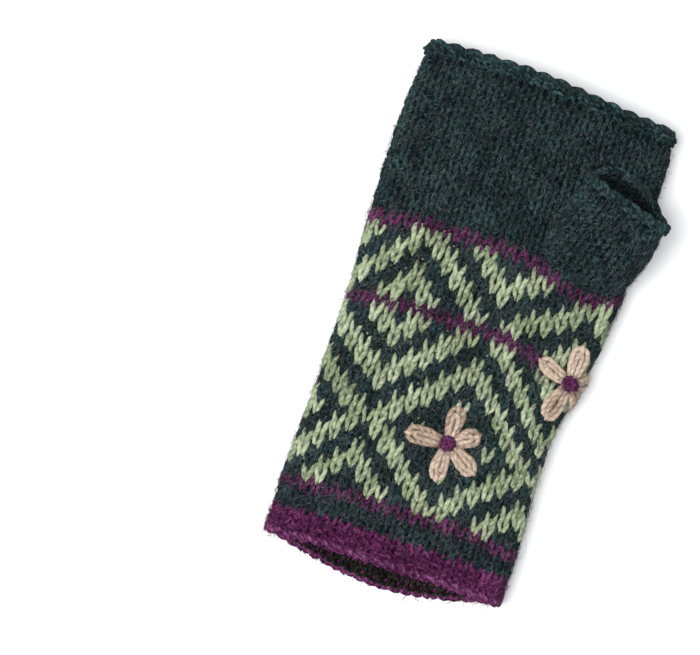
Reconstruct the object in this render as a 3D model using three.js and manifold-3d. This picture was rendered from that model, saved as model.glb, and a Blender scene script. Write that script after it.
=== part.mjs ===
// Fingerless mitt: a knitted tube for the hand, open at both ends, with a short thumb tube on its front.
// Millimetres, +Z up, +Y from the wrist to the fingers, +X towards the thumb.
// It lies flat on its back with the palm side up, and the origin is under the middle of its outline.

import * as THREE from "three";
import { mergeVertices } from "three/addons/utils/BufferGeometryUtils.js";
import Module from "manifold-3d";

const wasm = await Module();
wasm.setup();

// Driving dimensions
const GAP = 0.3;
const WALL = 3.0;
const FOLD_RADIUS = 5.0;
const CROWN = 3.5;
const OUTLINE_MIDDLE = { x: 3.93, y: -5.52 };

const STITCH_ROW = { plain: 3.88, upper: 4.49, lower: 4.34, dark: 3.9 };
const CUFF = { depth: 11.2, ridges: 3, ridgeRise: 0.9 };
const TOP_ROLL = { length: 5.6, thickness: 4.0 };

const THUMB = { x: 33.0, y: 36.0, leanDegrees: 15.5, droopDegrees: 4, wall: 2.5 };
const THUMB_ROLL = { length: 3.8, thickness: 3.3 };

const PETAL = { width: 7.4, thickness: 2.2, start: 3.7 };
const KNOT = { diameter: 6.4, height: 3.4 };

// Side edges of the hand tube at places along it, and how far its rows sink towards each fold.
const HAND_SHAPE = [
  { y: -98, left: -48.6, right: 44.6, sinkLeft: 1.5, sinkRight: 1.0, sinkFrom: 22 },
  { y: -74, left: -48.9, right: 44.6, sinkLeft: 2.0, sinkRight: 3.2, sinkFrom: 20 },
  { y: -48, left: -48.2, right: 43.4, sinkLeft: 2.5, sinkRight: 4.5, sinkFrom: 14 },
  { y: -24, left: -47.6, right: 43.6, sinkLeft: 3.0, sinkRight: 7.4, sinkFrom: 11 },
  { y: 2, left: -47.4, right: 48.2, sinkLeft: 3.2, sinkRight: 9.0, sinkFrom: 11 },
  { y: 30, left: -49.0, right: 52.0, sinkLeft: 3.6, sinkRight: 3.4, sinkFrom: 11 },
  { y: 60, left: -49.9, right: 52.3, sinkLeft: 1.5, sinkRight: 4.0, sinkFrom: 0 },
  { y: 82, left: -48.8, right: 52.2, sinkLeft: 0.5, sinkRight: 4.4, sinkFrom: -10 },
  { y: 96, left: -46.8, right: 50.2, sinkLeft: 0.5, sinkRight: 4.4, sinkFrom: -14 },
];
const LEFT_SINK = { from: -22, to: -52 };
const RIGHT_SINK_TO = 49;

// Half width of the thumb tube, from its root at 0 to its mouth at 1.
const THUMB_SHAPE = [
  { y: 0, half: 16.8 },
  { y: 0.25, half: 18.2 },
  { y: 0.5, half: 18.7 },
  { y: 0.75, half: 18.6 },
  { y: 1, half: 17.0 },
];

// Lower and upper wall of the thumb tube, seen from the side: distance along the thumb, then height.
const THUMB_LOWER = new THREE.CubicBezierCurve(
  new THREE.Vector2(10, 6),
  new THREE.Vector2(10, 11.5),
  new THREE.Vector2(21, 9.5),
  new THREE.Vector2(30.5, 13.5),
);
const THUMB_UPPER = new THREE.CubicBezierCurve(
  new THREE.Vector2(-14, 9),
  new THREE.Vector2(-6, 13.5),
  new THREE.Vector2(1, 24),
  new THREE.Vector2(20.3, 23.8),
);

// How far the sides of the mouth stay back with its front lip: 1 keeps them fully in line with that lip.
const THUMB_SIDE_PULL = 0.7;

// How the rows are drawn down round the root of the thumb, and how the back hangs out of the cuff mouth.
const THUMB_PULL = { x: 34, y: 32, depth: 5.6, spreadX: 12, spreadY: 16 };
const BACK_DROP = { depth: 9.3, power: 1.2, startY: -20, endY: -96 };

// Embroidered flowers: centre on the front, then the angle and the length of each petal.
const FLOWERS = [
  {
    name: "wrist_flower",
    x: 5.9,
    y: -46.2,
    petals: [
      { angle: 181, length: 15.7 },
      { angle: 88, length: 14.2 },
      { angle: 30, length: 12.3 },
      { angle: -30, length: 15.2 },
      { angle: -92, length: 14.4 },
    ],
  },
  {
    name: "side_flower",
    x: 42.2,
    y: -2.0,
    petals: [
      { angle: 172, length: 13.2 },
      { angle: 90, length: 14.5 },
      { angle: 14, length: 11.6 },
      { angle: -42, length: 12.0 },
      { angle: -100, length: 17.8 },
    ],
  },
];

// Facets
const ROUND_SEGMENTS = 32;
const FOLD_SHARE = 6 / ROUND_SEGMENTS;
const ROLL_SIDES = 10;
const TUBE_MIDDLE = 20;

// Wool colours
const DARK_TEAL = 0x263a3c;
const SAGE = 0xa5bc88;
const PURPLE = 0x581e4e;
const BLUSH = 0xdebea5;

const mitt = new THREE.Group();
mitt.name = "fingerless_mitt";
mitt.position.set(-OUTLINE_MIDDLE.x, -OUTLINE_MIDDLE.y, 0);

function wool(colour) {
  return new THREE.MeshStandardMaterial({ color: colour, roughness: 0.95, metalness: 0 });
}

function addPiece(name, geometry, colour) {
  geometry.computeVertexNormals();
  const piece = new THREE.Mesh(geometry, wool(colour));
  piece.name = name;
  mitt.add(piece);
  return piece;
}

// Smooth value of one column of a table at y: a cubic through its rows.
function fromTable(table, column, y) {
  const last = table.length - 1;
  const row = (index) => table[THREE.MathUtils.clamp(index, 0, last)];
  let below = 0;
  while (below < last - 1 && y > table[below + 1].y) {
    below += 1;
  }
  const low = row(below);
  const high = row(below + 1);
  const span = high.y - low.y;
  const slope = (index) => {
    const before = row(index - 1);
    const after = row(index + 1);
    return (after[column] - before[column]) / (after.y - before.y);
  };
  const t = THREE.MathUtils.clamp((y - low.y) / span, 0, 1);
  const rise = high[column] - low[column];
  const lowBend = (1 - t) * (slope(below) * span - rise);
  const highBend = t * (slope(below + 1) * span - rise);
  return low[column] + rise * t + t * (1 - t) * (lowBend - highBend);
}

// Point on the section of a flattened tube: two flats joined by two half-round folds.
// share runs once round, from below the left fold, over the top, to the right fold and back below.
function flatTube(share, halfWidth, halfHeight, inset) {
  const flat = halfWidth - halfHeight;
  const radius = Math.max(halfHeight - inset, 0);
  const side = share % 1 < 0.5 ? 1 : -1;
  const t = share % 0.5;
  if (t < FOLD_SHARE) {
    const angle = (Math.PI * t) / FOLD_SHARE;
    return { x: side * (-flat - radius * Math.sin(angle)), z: side * -radius * Math.cos(angle) };
  }
  const across = (t - FOLD_SHARE) / (0.5 - FOLD_SHARE);
  return { x: side * THREE.MathUtils.lerp(-flat, flat, across), z: side * radius };
}

function handWidth(y) {
  const left = fromTable(HAND_SHAPE, "left", y);
  const right = fromTable(HAND_SHAPE, "right", y);
  return { middle: (left + right) / 2, half: (right - left) / 2 };
}

// Point of the hand tube: share round it, y of the stitch row, inset below the outer surface.
function handPoint(share, y, inset) {
  const width = handWidth(y);
  const outer = flatTube(share, width.half, FOLD_RADIUS, 0);
  const point = flatTube(share, width.half, FOLD_RADIUS, inset);
  const front = (outer.z / FOLD_RADIUS + 1) / 2;
  const bulge = 1 - (outer.x / width.half) ** 2;
  const x = width.middle + point.x;
  const z = FOLD_RADIUS + point.z + CROWN * front * bulge;
  const towardsLeft = THREE.MathUtils.smoothstep(-x, -LEFT_SINK.from, -LEFT_SINK.to);
  const towardsRight = THREE.MathUtils.smoothstep(x, fromTable(HAND_SHAPE, "sinkFrom", y), RIGHT_SINK_TO);
  const sinkLeft = fromTable(HAND_SHAPE, "sinkLeft", y) * towardsLeft;
  const sinkRight = fromTable(HAND_SHAPE, "sinkRight", y) * towardsRight;
  const pullX = ((x - THUMB_PULL.x) / THUMB_PULL.spreadX) ** 2;
  const pullY = ((y - THUMB_PULL.y) / THUMB_PULL.spreadY) ** 2;
  const pull = THUMB_PULL.depth * front * Math.exp(-(pullX + pullY) / 2);
  const nearCuff = THREE.MathUtils.smoothstep(-y, -BACK_DROP.startY, -BACK_DROP.endY);
  const drop = BACK_DROP.depth * (1 - front) * nearCuff * bulge ** BACK_DROP.power;
  const sunk = y - sinkLeft - sinkRight - pull - drop;
  return new THREE.Vector3(x, sunk, Math.max(z, 0));
}

const thumbPlace = new THREE.Matrix4()
  .makeTranslation(THUMB.x, THUMB.y, 0)
  .multiply(new THREE.Matrix4().makeRotationZ(-THREE.MathUtils.degToRad(THUMB.leanDegrees)))
  .multiply(new THREE.Matrix4().makeRotationY(THREE.MathUtils.degToRad(THUMB.droopDegrees)));

// Point of the thumb tube: share round it, along from root (0) to mouth (1), inset below its surface.
function thumbPoint(share, along, inset) {
  const lower = THUMB_LOWER.getPoint(Math.min(along, 1));
  const upper = THUMB_UPPER.getPoint(Math.min(along, 1));
  const halfHeight = lower.distanceTo(upper) / 2;
  const halfWidth = fromTable(THUMB_SHAPE, "half", along);
  const point = flatTube(share, halfWidth, halfHeight, inset);
  const towardsLower = 0.5 - point.z / (2 * halfHeight);
  const sideways = point.x / halfWidth;
  const onSide = THUMB_SIDE_PULL * Math.min(along, 1) * Math.abs(sideways) ** (sideways > 0 ? 1.2 : 4);
  const forward = upper.x + (lower.x - upper.x) * towardsLower * (1 - onSide);
  const height = upper.y + (lower.y - upper.y) * towardsLower;
  const pastMouth = Math.max(along - 1, 0) * thumbLength;
  return new THREE.Vector3(point.x, forward + pastMouth, height).applyMatrix4(thumbPlace);
}

const thumbLength = (THUMB_LOWER.getLength() + THUMB_UPPER.getLength()) / 2;

// Closed body turned from a profile of { along, inset } corners and laid on a tube by place.
function tubeBody(profile, place) {
  const outline = profile.map(({ along, inset }) => new THREE.Vector2(TUBE_MIDDLE - inset, along));
  const turned = new THREE.LatheGeometry(outline, ROUND_SEGMENTS);
  return laid(turned, (corner) => {
    const share = (Math.atan2(corner.x, corner.z) / (2 * Math.PI) + 1) % 1;
    return place(share, corner.y, TUBE_MIDDLE - Math.hypot(corner.x, corner.z));
  });
}

// The same geometry as one closed mesh, with each corner moved by place.
function laid(geometry, place) {
  geometry.deleteAttribute("normal");
  geometry.deleteAttribute("uv");
  const merged = mergeVertices(geometry);
  const position = merged.getAttribute("position");
  const corner = new THREE.Vector3();
  for (let i = 0; i < position.count; i += 1) {
    const moved = place(corner.fromBufferAttribute(position, i));
    position.setXYZ(i, moved.x, moved.y, moved.z);
  }
  return merged;
}

// Corners from one end to the other at one inset, ends included.
function stretch(from, to, inset, steps) {
  const corner = (_, i) => ({ along: THREE.MathUtils.lerp(from, to, i / steps), inset });
  return Array.from({ length: steps + 1 }, corner);
}

function closed(profile) {
  return [...profile, profile[0]];
}

// Plain wall between two rows.
function wallProfile(low, high, wall, steps) {
  return closed([...stretch(low, high, 0, steps), ...stretch(high, low, wall, steps)]);
}

// Solid core, to cut with: everything inside the given inset.
function coreProfile(low, high, inset, steps) {
  const axisLow = { along: low, inset: TUBE_MIDDLE };
  const axisHigh = { along: high, inset: TUBE_MIDDLE };
  return [axisLow, ...stretch(low, high, inset, steps), axisHigh];
}

// Rolled edge: an oval ring whose inner side is level with the inside of the wall.
function rollProfile(start, roll, wall, scale) {
  const corners = Array.from({ length: ROLL_SIDES }, (_, i) => {
    const angle = (2 * Math.PI * i) / ROLL_SIDES;
    return {
      along: start + (roll.length / 2) * (1 + Math.sin(angle)) * scale,
      inset: wall - (roll.thickness / 2) * (1 + Math.cos(angle)),
    };
  });
  return closed(corners);
}

// Cuff wall with rounded ridges round its outside.
function cuffProfile(low, high) {
  const steps = CUFF.ridges * 4;
  const outside = stretch(low, high, 0, steps).map(({ along }, i) => ({
    along,
    inset: -CUFF.ridgeRise * Math.abs(Math.sin((Math.PI * i * CUFF.ridges) / steps)),
  }));
  return closed([...outside, ...stretch(high, low, WALL, 3)]);
}

// Booleans
function toSolid(geometry) {
  const vertProperties = new Float32Array(geometry.getAttribute("position").array);
  const triVerts = new Uint32Array(geometry.index.array);
  return new wasm.Manifold(new wasm.Mesh({ numProp: 3, vertProperties, triVerts }));
}

function toGeometry(solid) {
  const mesh = solid.getMesh();
  const geometry = new THREE.BufferGeometry();
  geometry.setAttribute("position", new THREE.BufferAttribute(new Float32Array(mesh.vertProperties), 3));
  geometry.setIndex(new THREE.BufferAttribute(new Uint32Array(mesh.triVerts), 1));
  return geometry;
}

function cut(geometry, cutter) {
  return toGeometry(toSolid(geometry).subtract(toSolid(cutter)));
}

// Rows of the hand tube, counted down from the top of the upper stripe
const upperStripeTop = 31.65;
const upperStripeLow = upperStripeTop - STITCH_ROW.upper;
const upperPatternLow = upperStripeLow - 6 * STITCH_ROW.upper;
const middleStripeLow = upperPatternLow - STITCH_ROW.upper;
const lowerPatternLow = middleStripeLow - 16 * STITCH_ROW.lower;
const lowerStripeLow = lowerPatternLow - STITCH_ROW.lower;
const darkBandLow = lowerStripeLow - 2 * STITCH_ROW.dark;
const cuffLow = darkBandLow - CUFF.depth;
const handTop = upperStripeTop + 15 * STITCH_ROW.plain;

const BANDS = [
  { name: "upper_stripe", low: upperStripeLow, high: upperStripeTop, colour: PURPLE, steps: 1 },
  { name: "upper_pattern", low: upperPatternLow, high: upperStripeLow, colour: SAGE, steps: 3 },
  { name: "middle_stripe", low: middleStripeLow, high: upperPatternLow, colour: PURPLE, steps: 1 },
  { name: "lower_pattern", low: lowerPatternLow, high: middleStripeLow, colour: SAGE, steps: 7 },
  { name: "lower_stripe", low: lowerStripeLow, high: lowerPatternLow, colour: PURPLE, steps: 1 },
  { name: "dark_band", low: darkBandLow, high: lowerStripeLow, colour: DARK_TEAL, steps: 1 },
];

function addBands() {
  for (const { name, low, high, colour, steps } of BANDS) {
    addPiece(name, tubeBody(wallProfile(low, high - GAP, WALL, steps), handPoint), colour);
  }
}

function addHandSection() {
  const steps = 8;
  const wall = tubeBody(wallProfile(upperStripeTop, handTop - GAP, WALL, steps), handPoint);
  const thumbHollow = tubeBody(coreProfile(0, 1, THUMB.wall, 8), thumbPoint);
  addPiece("hand_section", cut(wall, thumbHollow), DARK_TEAL);
}

function addEdges() {
  addPiece("top_edge", tubeBody(rollProfile(handTop, TOP_ROLL, WALL, 1), handPoint), DARK_TEAL);
  addPiece("cuff", tubeBody(cuffProfile(cuffLow, darkBandLow - GAP), handPoint), PURPLE);
}

// The thumb stands on the front of the hand tube, so it is cut off just above that surface.
function addThumb() {
  const handHull = tubeBody(coreProfile(upperPatternLow, handTop - GAP, -GAP, 12), handPoint);
  const tube = tubeBody(wallProfile(0, 1, THUMB.wall, 9), thumbPoint);
  addPiece("thumb_tube", cut(tube, handHull), DARK_TEAL);
  const rollSection = rollProfile(1 + GAP / thumbLength, THUMB_ROLL, THUMB.wall, 1 / thumbLength);
  const roll = tubeBody(rollSection, thumbPoint);
  addPiece("thumb_edge", cut(roll, handHull), DARK_TEAL);
}

// Share round the hand tube of a place on its front, by the distance over the surface from the middle.
function frontShare(reach, y) {
  const flat = handWidth(y).half - FOLD_RADIUS;
  if (reach <= flat) {
    return THREE.MathUtils.mapLinear(reach, -flat, flat, FOLD_SHARE, 0.5);
  }
  return 0.5 + (FOLD_SHARE * (reach - flat)) / (Math.PI * FOLD_RADIUS);
}

function addFlower({ name, x, y, petals }) {
  const centre = x - handWidth(y).middle;
  const onFront = (right, up, rise) => handPoint(frontShare(centre + right, y + up), y + up, -GAP - rise);

  petals.forEach(({ angle, length }, i) => {
    const turn = THREE.MathUtils.degToRad(angle);
    const steps = 7;
    const half = (t) => (PETAL.width / 2) * Math.sin(Math.PI * t ** 1.35) ** 0.75;
    const corner = (_, k) => new THREE.Vector2(half(k / steps), k / steps);
    const outline = Array.from({ length: steps + 1 }, corner);
    outline[steps].x = 0;
    const leaf = laid(new THREE.LatheGeometry(outline, 8), (corner) => {
      const along = THREE.MathUtils.lerp(PETAL.start, length, corner.y);
      const rise = (PETAL.thickness / 2) * (1 + corner.z / (PETAL.width / 2));
      return onFront(
        along * Math.cos(turn) + corner.x * Math.sin(turn),
        along * Math.sin(turn) - corner.x * Math.cos(turn),
        rise,
      );
    });
    addPiece(`${name}_petal_${i + 1}`, leaf, BLUSH);
  });

  const knot = laid(new THREE.SphereGeometry(1, 12, 8), (corner) =>
    onFront(
      (corner.x * KNOT.diameter) / 2,
      (corner.y * KNOT.diameter) / 2,
      ((1 + corner.z) * KNOT.height) / 2,
    ),
  );
  addPiece(`${name}_knot`, knot, PURPLE);
}

addHandSection();
addBands();
addEdges();
addThumb();
FLOWERS.forEach(addFlower);

export default mitt;
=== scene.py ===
"""Fingerless mitt of thick wool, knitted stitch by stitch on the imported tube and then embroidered."""
import math

import bpy
import numpy as np
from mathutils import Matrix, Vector


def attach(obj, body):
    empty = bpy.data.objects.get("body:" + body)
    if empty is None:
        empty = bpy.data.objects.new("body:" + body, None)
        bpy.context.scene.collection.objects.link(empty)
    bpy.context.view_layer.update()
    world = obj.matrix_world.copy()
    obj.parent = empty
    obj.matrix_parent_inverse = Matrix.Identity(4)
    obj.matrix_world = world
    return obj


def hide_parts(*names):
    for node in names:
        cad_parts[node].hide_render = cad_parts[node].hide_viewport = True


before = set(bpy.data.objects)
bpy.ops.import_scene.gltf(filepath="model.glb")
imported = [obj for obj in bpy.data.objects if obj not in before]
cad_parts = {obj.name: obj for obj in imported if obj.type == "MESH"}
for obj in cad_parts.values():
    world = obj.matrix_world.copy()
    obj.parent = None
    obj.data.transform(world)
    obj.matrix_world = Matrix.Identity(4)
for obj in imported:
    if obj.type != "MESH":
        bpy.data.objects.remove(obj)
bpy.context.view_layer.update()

# Sizes are millimetres here and metres in the scene.
MM = 0.001
BODY = "root"
random = np.random.default_rng(7)

# The tube, as the solids have it
WALL = 3.0
FOLD_RADIUS = 5.0
CROWN = 3.5
OUTLINE_MIDDLE = np.array([3.93, -5.52, 0.0])

ROW = {"plain": 3.88, "upper": 4.49, "lower": 4.34, "dark": 3.9}
ROW_COUNT = {"plain": 15, "upper": 6, "lower": 16, "dark": 2}
CUFF_DEPTH = 11.2
UPPER_STRIPE_TOP = 31.65

HAND_SHAPE = [
    {"y": -98, "left": -48.6, "right": 44.6, "sink_left": 1.5, "sink_right": 1.0, "sink_from": 22},
    {"y": -74, "left": -48.9, "right": 44.6, "sink_left": 2.0, "sink_right": 3.2, "sink_from": 20},
    {"y": -48, "left": -48.2, "right": 43.4, "sink_left": 2.5, "sink_right": 4.5, "sink_from": 14},
    {"y": -24, "left": -47.6, "right": 43.6, "sink_left": 3.0, "sink_right": 7.4, "sink_from": 11},
    {"y": 2, "left": -47.4, "right": 48.2, "sink_left": 3.2, "sink_right": 9.0, "sink_from": 11},
    {"y": 30, "left": -49.0, "right": 52.0, "sink_left": 3.6, "sink_right": 3.4, "sink_from": 11},
    {"y": 60, "left": -49.9, "right": 52.3, "sink_left": 1.5, "sink_right": 4.0, "sink_from": 0},
    {"y": 82, "left": -48.8, "right": 52.2, "sink_left": 0.5, "sink_right": 4.4, "sink_from": -10},
    {"y": 96, "left": -46.8, "right": 50.2, "sink_left": 0.5, "sink_right": 4.4, "sink_from": -14},
]
LEFT_SINK = {"from": -22, "to": -52}
RIGHT_SINK_TO = 49
THUMB_PULL = {"x": 34, "y": 32, "depth": 5.6, "spread_x": 12, "spread_y": 16}
BACK_DROP = {"depth": 9.3, "power": 1.2, "start_y": -20, "end_y": -96}

THUMB = {"x": 33.0, "y": 36.0, "lean": 15.5, "droop": 4, "wall": 2.5}
THUMB_SHAPE = [
    {"y": 0, "half": 16.8},
    {"y": 0.25, "half": 18.2},
    {"y": 0.5, "half": 18.7},
    {"y": 0.75, "half": 18.6},
    {"y": 1, "half": 17.0},
]
THUMB_LOWER = np.array([(10, 6), (10, 11.5), (21, 9.5), (30.5, 13.5)], dtype=float)
THUMB_UPPER = np.array([(-14, 9), (-6, 13.5), (1, 24), (20.3, 23.8)], dtype=float)
THUMB_SIDE_PULL = 0.7

# The knitting: stitches round the hand, their width on the front, and a stitch whose place is known
COLUMNS = 42
STITCH_WIDTH = 4.72
KNOWN_COLUMN = 12
KNOWN_X = {"wrist": 7.2, "palm": 8.7, "from": -15, "to": 25}
THUMB_COLUMNS = 18
YARN_RADIUS = 0.92


def from_table(table, column, y):
    """Smooth value of one column of a table at y: a cubic through its rows."""
    keys = np.array([row["y"] for row in table], dtype=float)
    values = np.array([row[column] for row in table], dtype=float)
    before = np.maximum(np.arange(len(keys)) - 1, 0)
    after = np.minimum(np.arange(len(keys)) + 1, len(keys) - 1)
    slopes = (values[after] - values[before]) / (keys[after] - keys[before])
    low = np.clip(np.searchsorted(keys, y, side="right") - 1, 0, len(keys) - 2)
    span = keys[low + 1] - keys[low]
    t = np.clip((y - keys[low]) / span, 0, 1)
    rise = values[low + 1] - values[low]
    bend = t * (1 - t) * ((1 - t) * (slopes[low] * span - rise) - t * (slopes[low + 1] * span - rise))
    return values[low] + rise * t + bend


def smooth_step(value, low, high):
    """From 0 at low to 1 at high, with soft ends."""
    t = np.clip((value - low) / (high - low), 0, 1)
    return t * t * (3 - 2 * t)


def flat_tube(distance, half_width, half_height, inset):
    """Point on the section of a flattened tube, by the distance round it from the middle of its top."""
    flat = half_width - half_height
    half_round = 2 * flat + math.pi * half_height
    turned = np.mod(distance + flat, 2 * half_round)
    side = np.where(turned < half_round, 1.0, -1.0)
    part = np.mod(turned, half_round)
    radius = np.maximum(half_height - inset, 0)
    angle = np.clip((part - 2 * flat) / half_height, 0, math.pi)
    x = np.where(part < 2 * flat, part - flat, flat + radius * np.sin(angle))
    return side * x, side * radius * np.cos(angle)


def hand_width(y):
    """Middle and half width of the hand tube at y."""
    left = from_table(HAND_SHAPE, "left", y)
    right = from_table(HAND_SHAPE, "right", y)
    return (left + right) / 2, (right - left) / 2


def hand_distance(column, y):
    """Distance round the hand tube of a stitch column: even stitches on the front, the rest on the back."""
    middle, half = hand_width(y)
    to_fold = half - FOLD_RADIUS + math.pi * FOLD_RADIUS / 2
    slant = smooth_step(y, KNOWN_X["from"], KNOWN_X["to"])
    known = KNOWN_X["wrist"] + (KNOWN_X["palm"] - KNOWN_X["wrist"]) * slant - middle
    right_fold = KNOWN_COLUMN + (to_fold - known) / STITCH_WIDTH
    on_front = 2 * to_fold / STITCH_WIDTH
    counted = np.mod(column - right_fold + on_front, COLUMNS)
    front = counted * STITCH_WIDTH - to_fold
    back = to_fold + (counted - on_front) / (COLUMNS - on_front) * 2 * to_fold
    return np.where(counted < on_front, front, back)


def hand_point(distance, y, inset):
    """Point of the hand tube: distance round it, y of the stitch row, inset below the outer surface."""
    middle, half = hand_width(y)
    outer_x, outer_z = flat_tube(distance, half, FOLD_RADIUS, 0.0)
    point_x, point_z = flat_tube(distance, half, FOLD_RADIUS, inset)
    front = (outer_z / FOLD_RADIUS + 1) / 2
    bulge = 1 - (outer_x / half) ** 2
    x = middle + point_x
    z = FOLD_RADIUS + point_z + CROWN * front * bulge
    towards_left = smooth_step(-x, -LEFT_SINK["from"], -LEFT_SINK["to"])
    towards_right = smooth_step(x, from_table(HAND_SHAPE, "sink_from", y), RIGHT_SINK_TO)
    sink_left = from_table(HAND_SHAPE, "sink_left", y) * towards_left
    sink_right = from_table(HAND_SHAPE, "sink_right", y) * towards_right
    pull_x = ((x - THUMB_PULL["x"]) / THUMB_PULL["spread_x"]) ** 2
    pull_y = ((y - THUMB_PULL["y"]) / THUMB_PULL["spread_y"]) ** 2
    pull = THUMB_PULL["depth"] * front * np.exp(-(pull_x + pull_y) / 2)
    near_cuff = smooth_step(-y, -BACK_DROP["start_y"], -BACK_DROP["end_y"])
    drop = BACK_DROP["depth"] * (1 - front) * near_cuff * np.maximum(bulge, 0) ** BACK_DROP["power"]
    return np.stack([x, y - sink_left - sink_right - pull - drop, z], axis=-1)


def bezier(corners, t):
    t = t[..., None]
    a, b, c, d = corners
    return (1 - t) ** 3 * a + 3 * (1 - t) ** 2 * t * b + 3 * (1 - t) * t**2 * c + t**3 * d


def curve_length(corners):
    points = bezier(corners, np.linspace(0, 1, 200))
    return np.linalg.norm(np.diff(points, axis=0), axis=1).sum()


THUMB_LENGTH = (curve_length(THUMB_LOWER) + curve_length(THUMB_UPPER)) / 2


def thumb_point(distance_share, along, inset):
    """Point of the thumb tube: share round it, along from root (0) to mouth (1), inset below its surface."""
    lower = bezier(THUMB_LOWER, np.minimum(along, 1))
    upper = bezier(THUMB_UPPER, np.minimum(along, 1))
    height = np.linalg.norm(upper - lower, axis=-1)
    half = from_table(THUMB_SHAPE, "half", along)
    around = 4 * (half - height / 2) + math.pi * height
    x, up = flat_tube(distance_share * around, half, height / 2, inset)
    towards_lower = 0.5 - up / height
    sideways = x / half
    on_side = THUMB_SIDE_PULL * np.minimum(along, 1) * np.abs(sideways) ** np.where(sideways > 0, 1.2, 4)
    forward = upper[..., 0] + (lower - upper)[..., 0] * towards_lower * (1 - on_side)
    forward = forward + np.maximum(along - 1, 0) * THUMB_LENGTH
    rise = upper[..., 1] + (lower - upper)[..., 1] * towards_lower
    lean, droop = math.radians(THUMB["lean"]), math.radians(THUMB["droop"])
    across = x * math.cos(droop) + rise * math.sin(droop)
    z = rise * math.cos(droop) - x * math.sin(droop)
    return np.stack(
        [
            THUMB["x"] + across * math.cos(lean) + forward * math.sin(lean),
            THUMB["y"] - across * math.sin(lean) + forward * math.cos(lean),
            z,
        ],
        axis=-1,
    )


# Fabrics: each gives the point of a stitch column, a row coordinate and a height over the outer surface.
def hand_fabric(column, y, height):
    return hand_point(hand_distance(column, y), y, -height)


def thumb_fabric(column, row, height):
    return thumb_point(column / THUMB_COLUMNS, row / THUMB_LENGTH, -height)


def rolled(fabric, start, length, thickness, wall):
    """The fabric of a rolled edge: its row coordinate is the angle round the roll, in degrees."""

    def roll_fabric(column, degrees, height):
        angle = np.radians(degrees)
        along = start + length / 2 + (length / 2 + height) * np.sin(angle)
        rise = thickness / 2 - wall + (thickness / 2 + height) * np.cos(angle)
        return fabric(column, along, rise)

    return roll_fabric


# Mesh making
class Yarns:
    """Closed round strands, gathered into one mesh."""

    def __init__(self):
        self.points, self.faces, self.uvs, self.shades = [], [], [], []
        self.count = 0

    def add(self, fabric, columns, rows, heights, radii, sides=6, uneven=0.0):
        """Strands whose samples are arrays [strand, sample] in the fabric's own coordinates."""
        path = fabric(columns, rows, heights)
        outwards = fabric(columns, rows, heights + 0.4) - fabric(columns, rows, heights - 0.4)
        strands, samples = path.shape[:2]
        tangent = np.gradient(path, axis=1)
        tangent /= np.linalg.norm(tangent, axis=-1, keepdims=True)
        across = np.cross(tangent, outwards)
        across /= np.linalg.norm(across, axis=-1, keepdims=True)
        over = np.cross(across, tangent)
        turn = np.arange(sides) * 2 * math.pi / sides
        ring = across[:, :, None] * np.cos(turn)[:, None] + over[:, :, None] * np.sin(turn)[:, None]
        reach = (np.zeros((strands, samples)) + radii)[:, :, None]
        reach = reach * (1 + random.normal(0, 1, (strands, samples, sides)) * uneven)
        points = path[:, :, None] + ring * reach[..., None]

        index = np.arange(strands * samples * sides).reshape(strands, samples, sides) + self.count
        around = np.roll(index, -1, axis=2)
        quads = np.stack([index[:, :-1], index[:, 1:], around[:, 1:], around[:, :-1]], axis=-1)
        length = np.linalg.norm(np.diff(path, axis=1), axis=-1).cumsum(axis=1)
        along = np.concatenate([np.zeros((strands, 1)), length], axis=1)
        along += random.uniform(0, 50, (strands, 1))
        u = np.repeat(along[:, :, None], sides, axis=2)
        v = np.broadcast_to(np.arange(sides) / sides, u.shape)
        step = 1 / sides
        corners = [
            (u[:, :-1], v[:, :-1]),
            (u[:, 1:], v[:, 1:]),
            (u[:, 1:], v[:, 1:] + step),
            (u[:, :-1], v[:, :-1] + step),
        ]
        uv = np.stack([np.stack(corner, axis=-1) for corner in corners], axis=-2)

        self.points.append(points.reshape(-1, 3))
        self.faces.append(quads.reshape(-1, 4))
        self.uvs.append(uv.reshape(-1, 2))
        for cap, ring_u in ((index[:, 0], u[:, 0]), (index[:, -1, ::-1], u[:, -1])):
            self.faces.append(cap)
            self.uvs.append(np.stack([ring_u, v[:, 0]], axis=-1).reshape(-1, 2))
        self.shades.append(np.repeat(random.uniform(0, 1, strands), samples * sides))
        self.count += points.size // 3


def make_piece(name, yarns, material, nodes=()):
    """One mesh object from gathered strands, riding on the mitt and standing for its nodes."""
    points = (np.concatenate(yarns.points) - OUTLINE_MIDDLE) * MM
    # Nothing reaches below the floor
    points[:, 2] = np.maximum(points[:, 2], 0)
    corners = np.concatenate([face.ravel() for face in yarns.faces])
    sizes = np.concatenate([np.full(len(face), face.shape[1]) for face in yarns.faces])
    mesh = bpy.data.meshes.new(name)
    mesh.vertices.add(len(points))
    mesh.vertices.foreach_set("co", points.ravel())
    mesh.loops.add(len(corners))
    mesh.loops.foreach_set("vertex_index", corners.astype(np.int32))
    mesh.polygons.add(len(sizes))
    mesh.polygons.foreach_set("loop_start", (np.cumsum(sizes) - sizes).astype(np.int32))
    mesh.polygons.foreach_set("use_smooth", np.ones(len(sizes), dtype=bool))
    mesh.update(calc_edges=True)
    mesh.uv_layers.new(name="strand").data.foreach_set("uv", np.concatenate(yarns.uvs).ravel())
    mesh.attributes.new("shade", "FLOAT", "POINT").data.foreach_set("value", np.concatenate(yarns.shades))
    mesh.materials.append(material)
    piece = bpy.data.objects.new(name, mesh)
    bpy.context.collection.objects.link(piece)
    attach(piece, BODY)
    if nodes:
        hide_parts(*nodes)


# Stitches
LOOP_SAMPLES = 11
LOOP_REACH = 0.87
LOOP_WAIST = 0.23
LEGS_BELOW_HEAD = 0.07
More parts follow.
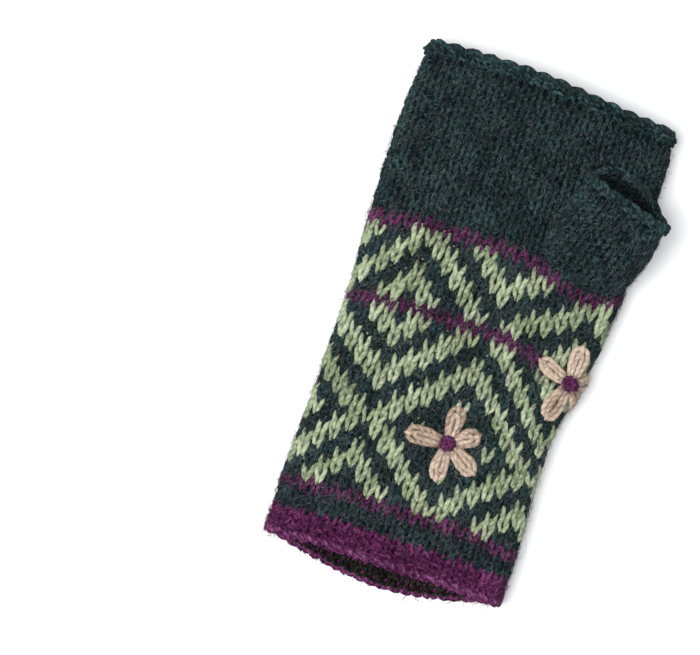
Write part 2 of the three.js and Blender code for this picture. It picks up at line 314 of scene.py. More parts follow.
# How far single stitches differ: in stitches, in rows, in shares, and height in millimetres
UNEVEN = {"lean": 0.045, "shift": 0.03, "lift": 0.06, "tight": 0.08, "height": 0.12, "thick": 0.06}


def add_stitches(
    yarns,
    fabric,
    columns,
    rows,
    pitch,
    purl=False,
    middle=-1.2,
    depth=0.6,
    radius=YARN_RADIUS,
    thinner_head=0.14,
    reach=LOOP_REACH,
    loose=1.0,
):
    """Knitted loops with their heads towards the fingers; pitch is the height of a row."""
    count = len(columns)
    pitch = np.broadcast_to(pitch, count)[:, None]
    turn = np.linspace(-math.pi, math.pi, LOOP_SAMPLES)

    def vary(kind):
        return random.normal(0, UNEVEN[kind] * loose, (count, 1))

    lean, shift, lift, tight = vary("lean"), vary("shift"), vary("lift"), 1 + vary("tight")
    side = -1 if purl else 1
    up = reach * np.cos(turn) * (1 + lift)
    waist = LOOP_WAIST * tight * np.sin(2 * turn)
    column = columns[:, None] + turn / (2 * math.pi) + waist + shift + lean * up
    row = rows[:, None] + pitch * (up + 0.5 * lift - LEGS_BELOW_HEAD)
    height = middle - side * depth * np.cos(2 * turn) + vary("height")
    thick = radius * (1 - thinner_head * np.cos(turn) ** 2) * (1 + vary("thick"))
    yarns.add(fabric, column, row, height, thick, uneven=0.07)


def add_rope(yarns, fabric, columns, row, height, twist, strand, turns=0.5, row_per_mm=1.0, per_column=6):
    """Two strands twisted round each other along an edge, turns for each stitch."""
    column = np.linspace(0, columns, columns * per_column + 1)
    phase = 2 * math.pi * turns * column[None, :] + np.array([[0.0], [math.pi]])
    # Now wider, now narrower, as by hand
    wobble = 1 + 0.14 * np.sin(column * 1.7 + 0.6) + 0.1 * np.sin(column * 0.83)
    row_line = row + row_per_mm * twist * wobble * np.cos(phase)
    height_line = height + twist * wobble * np.sin(phase)
    column = np.broadcast_to(column, phase.shape) + 0.0
    yarns.add(fabric, column, row_line, height_line, strand, sides=8, uneven=0.06)


def rows_down(top, pitch, count):
    """Middles of the rows below a line."""
    return [top - pitch * (i + 0.5) for i in range(count)]


# Lower edges of the bands, from the fingers down
band = {kind: ROW_COUNT[kind] * height for kind, height in ROW.items()}
hand_top = UPPER_STRIPE_TOP + band["plain"]
upper_stripe_low = UPPER_STRIPE_TOP - ROW["upper"]
upper_pattern_low = upper_stripe_low - band["upper"]
middle_stripe_low = upper_pattern_low - ROW["upper"]
lower_pattern_low = middle_stripe_low - band["lower"]
lower_stripe_low = lower_pattern_low - ROW["lower"]
dark_band_low = lower_stripe_low - band["dark"]
cuff_low = dark_band_low - CUFF_DEPTH

# The chart's rows are counted down from the upper stripe: the zigzags, the middle stripe, the diamonds
CHART = {"repeat": 14, "zigzags": 1, "diamonds": 8, "diamond_middle": 17, "bare_by_flower": 2}


def is_green(row, column):
    """The chart: zigzags two stitches thick above, nested diamonds below, dark under the wrist flower."""
    half_repeat = CHART["repeat"] // 2
    across = abs((column - KNOWN_COLUMN + half_repeat) % CHART["repeat"] - half_repeat)
    down = abs(row - CHART["diamond_middle"])
    if max(abs(column - KNOWN_COLUMN), down) <= CHART["bare_by_flower"]:
        return False
    step = row + across if row < CHART["diamonds"] else down + 1 + across
    return step % 4 in (0, 3)


def thumb_coordinates(points):
    """Across and along the thumb, for points over the mitt."""
    lean = math.radians(THUMB["lean"])
    dx, dy = points[..., 0] - THUMB["x"], points[..., 1] - THUMB["y"]
    return dx * math.cos(lean) - dy * math.sin(lean), dx * math.sin(lean) + dy * math.cos(lean)


THUMB_HOLE = {"half_width": 13.5, "half_length": 6.5}


def clear_of_thumb_hole(columns, rows):
    """Whether stitches of the hand lie outside the hole that the thumb opens from."""
    points = hand_fabric(columns, rows, np.full(len(columns), -1.5))
    across, along = thumb_coordinates(points)
    inside = (across / THUMB_HOLE["half_width"]) ** 2 + (along / THUMB_HOLE["half_length"]) ** 2 < 1
    return ~(inside & (points[:, 2] > FOLD_RADIUS))


def whole_rows(row_centres, columns=COLUMNS):
    """Column and row of each stitch of whole rows."""
    grid_rows, grid_columns = np.meshgrid(row_centres, np.arange(columns), indexing="ij")
    return grid_columns.ravel().astype(float), grid_rows.ravel()


# Places of all the stitches of a colour, for the hairs that stand out of them
combed = {"dark": [], "green": [], "purple": [], "cuff": [], "thumb": []}


def knit_band(name, colour, row_centres, pitch, node, **shape):
    yarns = Yarns()
    columns, rows = whole_rows(row_centres)
    kept = clear_of_thumb_hole(columns, rows)
    add_stitches(yarns, hand_fabric, columns[kept], rows[kept], pitch, **shape)
    combed[colour].append((columns[kept], rows[kept], pitch))
    make_piece(name, yarns, WOOLS[colour], [node])


PATTERN_STITCH = {
    "green": {"radius": 1.02, "depth": 0.7, "thinner_head": 0.34, "reach": 0.95, "loose": 1.4},
    "dark": {"radius": 0.98, "loose": 1.8},
}


def knit_pattern(name, first_row, row_centres, pitch, node):
    columns, rows = whole_rows(row_centres)
    numbers = first_row + np.repeat(np.arange(len(row_centres)), COLUMNS)
    green = np.array([is_green(row, column) for row, column in zip(numbers, columns)])
    for colour, chosen in (("green", green), ("dark", ~green)):
        yarns = Yarns()
        add_stitches(yarns, hand_fabric, columns[chosen], rows[chosen], pitch, **PATTERN_STITCH[colour])
        combed[colour].append((columns[chosen], rows[chosen], pitch))
        make_piece(f"{name}_{colour}", yarns, WOOLS[colour], [node])


# Materials
def srgb(red, green, blue):
    """Scene colour of a display colour given as 0 to 255."""
    channels = np.array([red, green, blue]) / 255
    return tuple(np.where(channels <= 0.04045, channels / 12.92, ((channels + 0.055) / 1.055) ** 2.4))


# Turns of the plies in a millimetre of strand, and scales of the noise, which counts in metres
PLY_TURNS = 0.2
TUFTS, PATCHES, CLUMPS, CLUMP_STEP = 760.0, 60.0, 230.0, 90.0
NOISE_DETAIL = 3.0
# What each grain adds to the tone, and how a heather tint is mixed in. The ply wave's share is painted shade
# in the grooves between the plies and painted highlight on their crests
SHADE = {"ply": 0.1, "fibres": 0.6, "stitch": 0.3, "patches": 0.45}
TINT_MIX = {"From Min": 0.48, "From Max": 0.66, "To Max": 0.6}
SURFACE = {"Roughness": 0.95, "Specular IOR Level": 0.1, "Sheen Roughness": 0.6}


def wool(name, deep, plain, pale, tints=(), sheen=0.06, fuzz=1.5, relief=0.6):
    """Wool yarn: twisted plies and fibres along the strand, heathered colour, soft sheen."""
    deep, plain, pale = srgb(*deep), srgb(*plain), srgb(*pale)
    material = bpy.data.materials.new(name)
    material.use_nodes = True
    nodes, links = material.node_tree.nodes, material.node_tree.links
    shader = nodes["Principled BSDF"]
    for socket_name, value in SURFACE.items():
        shader.inputs[socket_name].default_value = value
    shader.inputs["Sheen Weight"].default_value = sheen
    shader.inputs["Sheen Tint"].default_value = (*pale, 1)

    def math_node(operation, *values):
        made = nodes.new("ShaderNodeMath")
        made.operation = operation
        for socket, value in zip(made.inputs, values):
            if isinstance(value, (int, float)):
                socket.default_value = value
            else:
                links.new(value, socket)
        return made.outputs[0]

    def noise(vector, scale):
        made = nodes.new("ShaderNodeTexNoise")
        made.inputs["Scale"].default_value = scale
        made.inputs["Detail"].default_value = NOISE_DETAIL
        links.new(vector, made.inputs["Vector"])
        return made.outputs["Fac"]

    uv = nodes.new("ShaderNodeUVMap")
    uv.uv_map = "strand"
    parts = nodes.new("ShaderNodeSeparateXYZ")
    links.new(uv.outputs["UV"], parts.inputs[0])
    place = nodes.new("ShaderNodeTexCoord").outputs["Object"]

    # Two plies, and fibres that follow their slant
    slant = math_node("MULTIPLY_ADD", parts.outputs["X"], PLY_TURNS, parts.outputs["Y"])
    ply = math_node("SINE", math_node("MULTIPLY", slant, 4 * math.pi))
    fibre_place = nodes.new("ShaderNodeCombineXYZ")
    links.new(math_node("MULTIPLY", parts.outputs["X"], 0.45), fibre_place.inputs["X"])
    links.new(math_node("MULTIPLY", slant, 6.0), fibre_place.inputs["Y"])
    fibres = noise(fibre_place.outputs[0], 1.6)

    # Tufts of fibre, single stitches and patches change the shade
    tufts = noise(place, TUFTS)
    patches = noise(place, PATCHES)
    shade = nodes.new("ShaderNodeAttribute")
    shade.attribute_name = "shade"
    grains = [(tufts, fuzz), (fibres, SHADE["fibres"] * fuzz)]
    grains += [(shade.outputs["Fac"], SHADE["stitch"]), (patches, SHADE["patches"])]
    # The ply wave darkens the grooves between the plies and lightens their crests: painted shade and
    # highlight
    mixed = math_node("MULTIPLY_ADD", ply, SHADE["ply"], 0.5 - sum(weight for _, weight in grains) / 2)
    for grain, weight in grains:
        mixed = math_node("MULTIPLY_ADD", grain, weight, mixed)
    ramp = nodes.new("ShaderNodeValToRGB")
    ramp.color_ramp.elements[0].position = 0.2
    ramp.color_ramp.elements[0].color = (*deep, 1)
    ramp.color_ramp.elements[1].position = 0.8
    ramp.color_ramp.elements[1].color = (*pale, 1)
    middle = ramp.color_ramp.elements.new(0.5)
    middle.color = (*plain, 1)
    links.new(mixed, ramp.inputs["Fac"])

    # Heather: fibres of other colours, gathered in clumps about as large as a stitch
    colour = ramp.outputs["Color"]
    for number, tint in enumerate(tints):
        clumps = nodes.new("ShaderNodeMapRange")
        for socket_name, value in TINT_MIX.items():
            clumps.inputs[socket_name].default_value = value
        links.new(noise(place, CLUMPS + CLUMP_STEP * number), clumps.inputs["Value"])
        blend = nodes.new("ShaderNodeMix")
        blend.data_type = "RGBA"
        links.new(clumps.outputs["Result"], blend.inputs["Factor"])
        links.new(colour, blend.inputs[6])
        blend.inputs[7].default_value = (*srgb(*tint), 1)
        colour = blend.outputs[2]
    links.new(colour, shader.inputs["Base Color"])

    surface = math_node("MULTIPLY_ADD", ply, 0.3, math_node("MULTIPLY_ADD", fibres, 0.5, tufts))
    bump = nodes.new("ShaderNodeBump")
    bump.inputs["Strength"].default_value = 0.8
    bump.inputs["Distance"].default_value = relief * MM
    links.new(surface, bump.inputs["Height"])
    links.new(bump.outputs["Normal"], shader.inputs["Normal"])
    return material


# Display colours of each wool: deep, plain and pale
HEATHER = ((38, 43, 51), (34, 44, 37))
WOOLS = {
    "dark": wool("dark_teal_wool", (5, 14, 15), (21, 39, 41), (50, 74, 75), HEATHER),
    "green": wool("sage_wool", (106, 120, 86), (150, 161, 130), (182, 191, 162), fuzz=0.48, relief=0.16),
    "purple": wool("purple_wool", (38, 12, 33), (76, 32, 66), (116, 60, 102), fuzz=1.2),
    "cuff": wool("cuff_wool", (44, 12, 37), (84, 31, 71), (122, 58, 106), fuzz=1.2),
    # The cuff edge wool is a lighter copy of the cuff wool: painted highlight on the raised rope
    "cuff_edge": wool("cuff_edge_wool_painted_highlight", (56, 20, 48), (98, 48, 86), (142, 88, 130), fuzz=1.2),
    # The inner olive wool: the olive tint of the inside, darkened as painted shade
    "lining": wool("olive_inner_wool_with_painted_shade", (8, 10, 9), (24, 26, 21), (46, 46, 36)),
    # The edge wool is a lighter copy of the dark teal wool: painted highlight on the raised rolled edges
    "edge": wool("painted_highlight_edge_wool", (7, 17, 18), (27, 46, 48), (60, 85, 86), HEATHER),
    "blush": wool("blush_wool", (126, 103, 86), (178, 157, 140), (206, 187, 168), fuzz=0.5, relief=0.08),
    # The two inner wools are darker copies of the purple and teal wools: painted shade for the gaps between
    # the loops and the hollow of the thumb
    "cuff_core": wool("painted_shade_inner_purple_wool", (18, 5, 15), (34, 12, 29), (56, 24, 48), sheen=0.03),
    "core": wool("painted_shade_inner_wool", (9, 14, 15), (18, 26, 27), (34, 44, 44), sheen=0.03),
    "dark_hair": wool("dark_hair", (60, 72, 75), (96, 108, 112), (140, 148, 150)),
    "green_hair": wool("sage_hair", (112, 123, 98), (152, 160, 138), (186, 192, 172)),
    "purple_hair": wool("purple_hair", (70, 22, 60), (112, 48, 98), (160, 100, 146)),
    "blush_hair": wool("blush_hair", (170, 140, 120), (206, 182, 162), (232, 214, 198)),
    "long_hair": wool("long_hair", (96, 102, 102), (136, 138, 136), (180, 178, 174)),
}

# The thin layer inside the knitting, which keeps light from passing between the loops. Its wools are darker
# copies of the teal and purple wools: painted shade in the gaps between the loops and inside the thumb
CORE_THICKNESS = 0.6
CORE_SEAM = dark_band_low - 0.5
CORE_ROWS = {
    "hand": np.linspace(CORE_SEAM, hand_top + 3.0, 64),
    "cuff": np.linspace(cuff_low + 0.8, CORE_SEAM, 8),
    "thumb": np.linspace(0.1, 1.05, 16) * THUMB_LENGTH,
}
CORE_HEIGHT = {"hand": -1.5, "cuff": -1.3, "thumb": -1.9}


def add_core(part, fabric, per_turn, around, colour):
    """The layer of one part: around quads for each turn of per_turn stitches."""
    column, row = np.meshgrid(np.arange(around) * per_turn / around, CORE_ROWS[part])
    points = fabric(column, row, np.full(column.shape, CORE_HEIGHT[part]))
    if part == "thumb":
        kept = ~below_hand(points, 1.0)
    else:
        kept = clear_of_thumb_hole(column.ravel(), row.ravel()).reshape(column.shape)
    index = np.arange(points.size // 3).reshape(column.shape)
    beside = np.roll(index, -1, 1)
    quads = np.stack([index[:-1], beside[:-1], beside[1:], index[1:]], axis=-1)
    faces = quads[kept.ravel()[quads].all(axis=-1)]
    used = np.unique(faces)
    corners = (points.reshape(-1, 3)[used] - OUTLINE_MIDDLE) * MM
    name = f"{part}_core"
    mesh = bpy.data.meshes.new(name)
    mesh.from_pydata(corners.tolist(), [], np.searchsorted(used, faces).tolist())
    mesh.materials.append(WOOLS[colour])
    core = bpy.data.objects.new(name, mesh)
    bpy.context.collection.objects.link(core)
    walls = core.modifiers.new("walls", "SOLIDIFY")
    walls.thickness = CORE_THICKNESS * MM
    walls.offset = 0
    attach(core, BODY)


def add_cores():
    add_core("hand", hand_fabric, COLUMNS, COLUMNS * 2, "core")
    add_core("cuff", hand_fabric, COLUMNS, COLUMNS * 2, "cuff_core")
    add_core("thumb", thumb_fabric, THUMB_COLUMNS, THUMB_COLUMNS * 3, "core")


def below_hand(points, depth):
    """Whether points lie more than depth below the front of the hand tube."""
    middle, half = hand_width(points[..., 1])
    across = (points[..., 0] - middle) / half
    top = 2 * FOLD_RADIUS + CROWN * (1 - across**2)
    over = np.abs(points[..., 0] - middle) < half - 1
    return over & (points[..., 2] < top - depth)


def thumb_rows(count):
    """Middles and heights of rows along the thumb, even over its upper wall."""
    share = np.linspace(0, 1, 400)
    steps = np.linalg.norm(np.diff(bezier(THUMB_UPPER, share), axis=0), axis=1)
    length = np.concatenate([[0], np.cumsum(steps)])
    edges = np.interp(np.linspace(0, length[-1], count + 1), length, share) * THUMB_LENGTH
    return (edges[1:] + edges[:-1]) / 2, np.diff(edges)


THUMB_ROWS = 12
THUMB_STITCH = {"middle": -1.0, "depth": 0.5, "radius": 0.88, "loose": 1.2}


def knit_thumb():
    centres, heights = thumb_rows(THUMB_ROWS)
    columns, rows = whole_rows(centres, THUMB_COLUMNS)
    pitch = np.repeat(heights, THUMB_COLUMNS)
    points = thumb_fabric(columns, rows, np.full(len(columns), -1.2))
    kept = ~below_hand(points, 1.5)
    columns, rows, pitch = columns[kept], rows[kept], pitch[kept]
    yarns = Yarns()
    add_stitches(yarns, thumb_fabric, columns, rows, pitch, **THUMB_STITCH)
    combed["thumb"].append((columns, rows, 2.0))
    make_piece("thumb_knit", yarns, WOOLS["dark"], ["thumb_tube"])


# Rolled edges. Rows and ropes are placed in degrees round the roll, so a row's height is in degrees too
EDGES = {
    "top_edge": {
        "roll": {"length": 5.6, "thickness": 4.8},
        "rows": (-65.0, -20.0, 30.0, 160.0),
        "pitch": 36.0,
        "depth": 0.4,
        "rope": {
            "row": 80.0, "height": -0.85, "twist": 0.9, "strand": 1.15, "turns": 0.34, "row_per_mm": 24.0
        },
    },
    "thumb_edge": {
        "roll": {"length": 3.8, "thickness": 4.3},
        "rows": (-60.0, -5.0, 120.0),
        "pitch": 42.0,
        "depth": 0.35,
        "rope": {
            "row": 70.0, "height": -0.8, "twist": 0.75, "strand": 1.0, "turns": 0.4, "row_per_mm": 30.0
        },
    },
}


def knit_edge(node, fabric, around, start, wall):
    """A rolled edge: rows of purl round the roll, and a twisted rope along its outside."""
    edge = EDGES[node]
    roll = rolled(fabric, start, wall=wall, **edge["roll"])
    stitch = {"purl": True, "middle": -0.95, "depth": edge["depth"], "radius": 0.85}
    yarns = Yarns()
    for degrees in edge["rows"]:
        columns, rows = whole_rows([degrees], around)
        add_stitches(yarns, roll, columns, rows, edge["pitch"], **stitch)
    add_rope(yarns, roll, around, **edge["rope"])
    # The rolls and ropes take the lighter edge wool, a painted highlight
    make_piece(f"{node}_knit", yarns, WOOLS["edge"], [node])


THUMB_LINING = {"from_mouth": 1.0, "rows": 5, "pitch": 2.6}


def line_thumb():
    """The inside of the thumb near its mouth, where the purl side shows. Its stitches use the dark inner
    wool, a painted shade in the mouth's hollow.
    """
    yarns = Yarns()
    pitch = THUMB_LINING["pitch"]
    inner_rows = THUMB_LENGTH - THUMB_LINING["from_mouth"] - np.arange(THUMB_LINING["rows"]) * pitch
    columns, rows = whole_rows(inner_rows, THUMB_COLUMNS)
    inside = {"purl": True, "middle": -2.5, "depth": -0.4}
    add_stitches(yarns, thumb_fabric, columns, rows, pitch, radius=0.8, **inside)
    # The dark inner wool here is painted shade inside the thumb's mouth
    make_piece("thumb_lining", yarns, WOOLS["core"])


CUFF_ROWS = {"plain": 3.4, "ridge": 2.55, "ridges": 3, "ridge_start": 0.3}
CUFF_ROPE = {"row": cuff_low + 1.2, "height": -1.0, "twist": 0.62, "strand": 1.0, "turns": 0.45}
CUFF_LINING = {"from_edge": 4.2, "rows": 5, "pitch": 2.9}


def knit_cuff():
    """A plain row, purl ridges and a rope along the edge."""
    plain, ridge = CUFF_ROWS["plain"], CUFF_ROWS["ridge"]
    yarns = Yarns()
    columns, rows = whole_rows([dark_band_low - plain / 2])
    add_stitches(yarns, hand_fabric, columns, rows, plain, loose=1.5)
    ridges = dark_band_low - plain - ridge * (np.arange(CUFF_ROWS["ridges"]) + CUFF_ROWS["ridge_start"])
    columns, rows = whole_rows(ridges)
    add_stitches(yarns, hand_fabric, columns, rows, ridge, purl=True, middle=-0.95, radius=0.95, loose=1.5)
    combed["cuff"].append((columns, rows, ridge))
    make_piece("cuff_knit", yarns, WOOLS["cuff"], ["cuff"])

    rim = Yarns()
    add_rope(rim, hand_fabric, COLUMNS, **CUFF_ROPE)
    # The rope's lighter purple is a painted highlight
    make_piece("cuff_edge_rope", rim, WOOLS["cuff_edge"])


def line_cuff():
    """The inside of the cuff, where the strands carried behind the pattern end. Its wool is the inside's
    olive tint, darkened with painted shade.
    """
    yarns = Yarns()
    pitch = CUFF_LINING["pitch"]
    inner_rows = cuff_low + CUFF_LINING["from_edge"] + np.arange(CUFF_LINING["rows"]) * pitch
    columns, rows = whole_rows(inner_rows)
    inside = {"purl": True, "middle": -2.9, "depth": -0.45}
    add_stitches(yarns, hand_fabric, columns, rows, pitch, radius=0.9, loose=2, **inside)
    make_piece("cuff_lining", yarns, WOOLS["lining"])


def knit_stripe(node, top, pitch):
    rows = rows_down(top, pitch, 1)
    knit_band(f"{node}_knit", "purple", rows, pitch, node, middle=-1.25, radius=0.93, loose=1.7)


def knit_everything():
    plain, upper, lower, dark = (ROW[kind] for kind in ("plain", "upper", "lower", "dark"))
    plain_rows = rows_down(hand_top, plain, ROW_COUNT["plain"])
    upper_rows = rows_down(upper_stripe_low, upper, ROW_COUNT["upper"])
    lower_rows = rows_down(middle_stripe_low, lower, ROW_COUNT["lower"])
    dark_rows = rows_down(lower_stripe_low, dark, ROW_COUNT["dark"])
    knit_band("hand_knit", "dark", plain_rows, plain, "hand_section", loose=1.3)
    knit_stripe("upper_stripe", UPPER_STRIPE_TOP, upper)
    knit_pattern("upper_pattern_knit", CHART["zigzags"], upper_rows, upper, "upper_pattern")
    knit_stripe("middle_stripe", upper_pattern_low, upper)
    knit_pattern("lower_pattern_knit", CHART["diamonds"], lower_rows, lower, "lower_pattern")
    knit_stripe("lower_stripe", lower_pattern_low, lower)
    knit_band("dark_band_knit", "dark", dark_rows, dark, "dark_band", loose=1.5)
    knit_cuff()
    line_cuff()
    knit_edge("top_edge", hand_fabric, COLUMNS, hand_top, WALL)
    knit_thumb()
    knit_edge("thumb_edge", thumb_fabric, THUMB_COLUMNS, THUMB_LENGTH, THUMB["wall"])
    line_thumb()


# Embroidery: where each flower is, and the angle in degrees and the length of each petal
FLOWERS = [
    {
        "name": "wrist_flower",
        "x": 5.9,
        "y": -46.2,
        "petals": [(181, 15.7), (88, 14.2), (30, 12.3), (-30, 15.2), (-92, 14.4)],
    },
    {
        "name": "side_flower",
        "x": 42.2,
        "y": -2.0,
        "petals": [(172, 13.2), (90, 14.5), (14, 11.6), (-42, 12.0), (-100, 17.8)],
    },
]
PETAL_WIDTH = 7.4
PETAL_START = 1.2
PETAL_SKEW = 0.45
PETAL_BREADTH = (0.86, 1.06)
STRAND_RADIUS = 1.0
WAVER = {"aside": 0.11, "height": 0.08}
OUTER_LOOP = {"short_of_tip": 0.7, "lift": 0.9}
INNER_LOOP = {"narrow": (0.95, 1.25), "short_of_tip": (2.2, 3.4), "lift": 1.2}
TIE = {"before_tip": 1.2, "half_length": 1.5, "slant": 0.3, "height": 1.0, "bow": 1.6, "thin": 0.85}
KNOT = {"ring": 1.7, "wrap": 0.9, "turns": 2, "wraps": 11, "height": 1.0, "strand": 0.68, "samples": 220}


def add_petal(yarns, fabric, angle, length):
    """Two loops laid one in the other, held at the tip by a short stitch."""
    turn = math.radians(angle)

    def place(along, aside, height):
        right = along * math.cos(turn) - aside * math.sin(turn)
        up = along * math.sin(turn) + aside * math.cos(turn)
        return fabric(right, up, height)

    samples = 25
    around = np.linspace(-math.pi / 2, math.pi / 2, samples)
    skew = random.normal(0, PETAL_SKEW)
    broad = random.uniform(*PETAL_BREADTH)
    outer_width = broad * PETAL_WIDTH / 2 - STRAND_RADIUS
    inner_width = STRAND_RADIUS * random.uniform(*INNER_LOOP["narrow"])
    outer = (outer_width, length - OUTER_LOOP["short_of_tip"], OUTER_LOOP["lift"])
    inner = (inner_width, length - random.uniform(*INNER_LOOP["short_of_tip"]), INNER_LOOP["lift"])
    for width, reach, lift in (outer, inner):
        share = np.cos(around) ** 0.6
        along = PETAL_START + (reach - PETAL_START) * share
        spread = np.sign(around) * np.abs(np.sin(around)) ** 0.8 * (0.25 + 0.75 * share) / 0.68
        aside = width * spread + skew * share**2 + random.normal(0, WAVER["aside"], samples)
        arch = np.sin(math.pi * np.clip(along / length, 0.04, 0.97) ** 0.8) ** 0.5
        height = lift * arch - 0.4 + random.normal(0, WAVER["height"], samples)
        yarns.add(place, along[None], aside[None], height[None], STRAND_RADIUS, sides=8, uneven=0.05)
    tie = np.linspace(-1, 1, 9)
    height = TIE["height"] - TIE["bow"] * tie**2
    along = length - TIE["before_tip"] + TIE["half_length"] * tie
    aside = skew + TIE["slant"] * tie
    thin = STRAND_RADIUS * TIE["thin"]
    yarns.add(place, along[None], aside[None], height[None], thin, sides=8, uneven=0.07)


def add_knot(yarns, fabric):
    """A French knot: the strand wound round itself into a low ball."""
    t = np.linspace(0, 2 * math.pi, KNOT["samples"])
    turn, wrap = KNOT["turns"] * t, KNOT["wraps"] * t
    ring = KNOT["ring"] + KNOT["wrap"] * np.cos(wrap) + 0.12 * np.sin(3 * t + 1)
    right, up = ring * np.cos(turn), ring * np.sin(turn)
    height = KNOT["height"] * (1 + np.sin(wrap))
    yarns.add(fabric, right[None], up[None], height[None], KNOT["strand"], sides=8, uneven=0.12)


def front_around(flower):
    """Fabric of the front of the hand round a flower, in millimetres to the right and up."""
    centre = flower["x"] - hand_width(flower["y"])[0]

    def on_front(right, up, height):
        return hand_point(centre + right, flower["y"] + up, -height)

    return on_front


def embroider():
    for flower in FLOWERS:
        name = flower["name"]
        fabric = front_around(flower)
        for number, (angle, length) in enumerate(flower["petals"], start=1):
            yarns = Yarns()
            add_petal(yarns, fabric, angle, length)
            petal = f"{name}_petal_{number}"
            make_piece(f"{petal}_strands", yarns, WOOLS["blush"], [petal])
        yarns = Yarns()
        add_knot(yarns, fabric)
        make_piece(f"{name}_french_knot", yarns, WOOLS["purple"], [f"{name}_knot"])


# Loose fibres: number, mean length, thickness, how far they lift, and how they bend
HAIRS = {
    "hand_hair": {"count": 4500, "length": 2.4, "radius": 0.06},
    "upper_pattern_hair": {"count": 3400, "length": 3.2, "radius": 0.05},
    "lower_pattern_hair": {"count": 5800, "length": 3.2, "radius": 0.05},
    "green_hair": {"count": 5500, "length": 1.8, "samples": 3},
    "purple_hair": {"count": 4500, "length": 2.2, "base": 0.1, "samples": 3},
    "long_hair": {"count": 1100, "length": 7.5, "radius": 0.045, "lift": 0.8, "samples": 7, "curl": 1.3},
    "pattern_halo": {"count": 2700, "length": 3.8, "radius": 0.045, "lift": 0.7},
    "thumb_hair": {"count": 1500, "length": 2.6, "lift": 0.4, "base": 0.1},
}
FLOWER_HAIR = {"length": 1.7, "radius": 0.045, "base": 1.2, "column_width": 1.0}
FLOWER_HAIR_SPREAD = 8
FLOWER_HAIRS = {"blush": {"reach": 12.5, "count": 800}, "purple": {"reach": 3.0, "count": 420}}


def joined(places, part):
    """One part of the places of several bands, as one array."""
    return np.concatenate([np.broadcast_to(place[part], len(place[0])) for place in places])


def add_hairs(
    yarns,
    fabric,
    places,
    count,
    length,
    radius=0.07,
    lift=0.5,
    base=0.0,
    samples=4,
    curl=0.9,
    column_width=STITCH_WIDTH,
):
    """Fine hairs that start on stitches and lie over the wool."""
    columns, rows, pitches = (joined(places, part) for part in range(3))
    picked = random.integers(0, len(columns), count)
    start_column = columns[picked] + random.uniform(-0.5, 0.5, count)
    start_row = rows[picked] + pitches[picked] * random.uniform(-0.7, 0.4, count)
    heading = random.uniform(0, 2 * math.pi, count)
    bend = random.normal(0, curl, (count, 1))
    reach = np.minimum(random.gamma(3.0, length / 3.0, count), 2.2 * length)
    t = np.linspace(0, 1, samples)
    turn = heading[:, None] + bend * t * 2
    step = reach[:, None] / (samples - 1)
    aside = np.cumsum(np.cos(turn) * step, axis=1)
    ahead = np.cumsum(np.sin(turn) * step, axis=1)
    height = base + random.gamma(1.5, lift / 1.5, count)[:, None] * np.sin(math.pi * (0.1 + 0.75 * t))
    yarns.add(
        fabric,
        start_column[:, None] + aside / column_width,
        start_row[:, None] + ahead,
        height,
        radius * (1.2 - 0.7 * t),
        sides=3,
    )


def comb_out(name, fabric, places, colour):
    yarns = Yarns()
    add_hairs(yarns, fabric, places, **HAIRS[name])
    make_piece(name, yarns, WOOLS[f"{colour}_hair"])


def comb_flowers():
    """Short hairs on the petals and the knots."""
    for colour, hairs in FLOWER_HAIRS.items():
        count = hairs["count"]
        yarns = Yarns()
        for flower in FLOWERS:
            fabric = front_around(flower)
            angles = random.choice([angle for angle, _ in flower["petals"]], count)
            turn = np.radians(angles + random.normal(0, FLOWER_HAIR_SPREAD, count))
            away = random.uniform(0.2, 1, count) * hairs["reach"]
            places = [(away * np.cos(turn), away * np.sin(turn), 1.0)]
            add_hairs(yarns, fabric, places, count, **FLOWER_HAIR)
        make_piece(f"{colour}_flower_hair", yarns, WOOLS[f"{colour}_hair"])


def comb_everything():
    hand, upper, lower = combed["dark"][:1], combed["dark"][1:2], combed["dark"][2:]
    green, stripes = combed["green"], combed["purple"]
    patterns = upper + lower + green + stripes
    comb_out("hand_hair", hand_fabric, hand, "dark")
    comb_out("upper_pattern_hair", hand_fabric, upper + stripes[:2], "dark")
    comb_out("lower_pattern_hair", hand_fabric, lower + stripes[2:], "dark")
    comb_out("green_hair", hand_fabric, green, "green")
    # The cuff counts twice, because it is the fuzziest
    comb_out("purple_hair", hand_fabric, stripes + 2 * combed["cuff"], "purple")
    comb_out("long_hair", hand_fabric, hand + patterns, "long")
    comb_out("pattern_halo", hand_fabric, patterns, "long")
    comb_out("thumb_hair", thumb_fabric, combed["thumb"], "dark")
    comb_flowers()


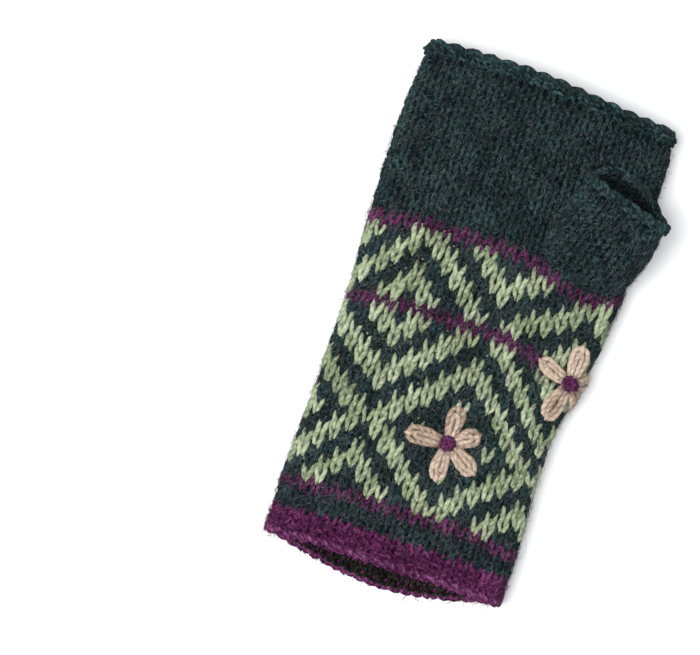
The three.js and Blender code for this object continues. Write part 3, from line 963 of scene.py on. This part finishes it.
# Floor, light and camera
CAMERA = {"x": -42.1, "y": -16.9, "surface": 12.0, "turn": 18.5, "frame_width": 261.0}
LENS = {"focal": 85.0, "sensor": 36.0}
FLOOR = {"size": 6, "z": -0.0002, "colour": (0.94, 0.94, 0.94, 1), "roughness": 0.9}
SKY = {"colour": (0.95, 0.97, 1.0, 1), "strength": 0.5}
LIGHTS = {
    "key": {"location": (-0.5, -0.22, 0.9), "size": 0.8, "energy": 13.2},
    "fill": {"location": (0.3, 0.3, 1.2), "size": 0.9, "energy": 3.4},
}


def add_stage():
    bpy.ops.mesh.primitive_plane_add(size=FLOOR["size"], location=(0, 0, FLOOR["z"]))
    floor = bpy.context.object
    floor.name = "floor"
    material = bpy.data.materials.new("pale_floor")
    material.use_nodes = True
    shader = material.node_tree.nodes["Principled BSDF"]
    shader.inputs["Base Color"].default_value = FLOOR["colour"]
    shader.inputs["Roughness"].default_value = FLOOR["roughness"]
    floor.data.materials.append(material)


def add_light(name, location, size, energy):
    data = bpy.data.lights.new(name, "AREA")
    data.shape = "SQUARE"
    data.size = size
    data.energy = energy
    lamp = bpy.data.objects.new(name, data)
    bpy.context.collection.objects.link(lamp)
    lamp.location = location
    direction = -np.array(location)
    lamp.rotation_euler = Vector(direction).to_track_quat("-Z", "Y").to_euler()


def add_camera():
    data = bpy.data.cameras.new("camera")
    data.lens = LENS["focal"]
    data.sensor_width = LENS["sensor"]
    distance = CAMERA["frame_width"] * LENS["focal"] / LENS["sensor"]
    camera = bpy.data.objects.new("camera", data)
    bpy.context.collection.objects.link(camera)
    place = np.array([CAMERA["x"], CAMERA["y"], CAMERA["surface"] + distance]) - OUTLINE_MIDDLE
    camera.location = place * MM
    camera.rotation_euler = (0, 0, math.radians(CAMERA["turn"]))
    bpy.context.scene.camera = camera


def add_world():
    world = bpy.data.worlds.new("soft_white")
    world.use_nodes = True
    background = world.node_tree.nodes["Background"]
    background.inputs["Color"].default_value = SKY["colour"]
    background.inputs["Strength"].default_value = SKY["strength"]
    bpy.context.scene.world = world


add_cores()
knit_everything()
embroider()
comb_everything()
add_stage()
add_world()
for light_name, light in LIGHTS.items():
    add_light(light_name, **light)
add_camera()
bpy.context.scene.view_settings.view_transform = "Standard"
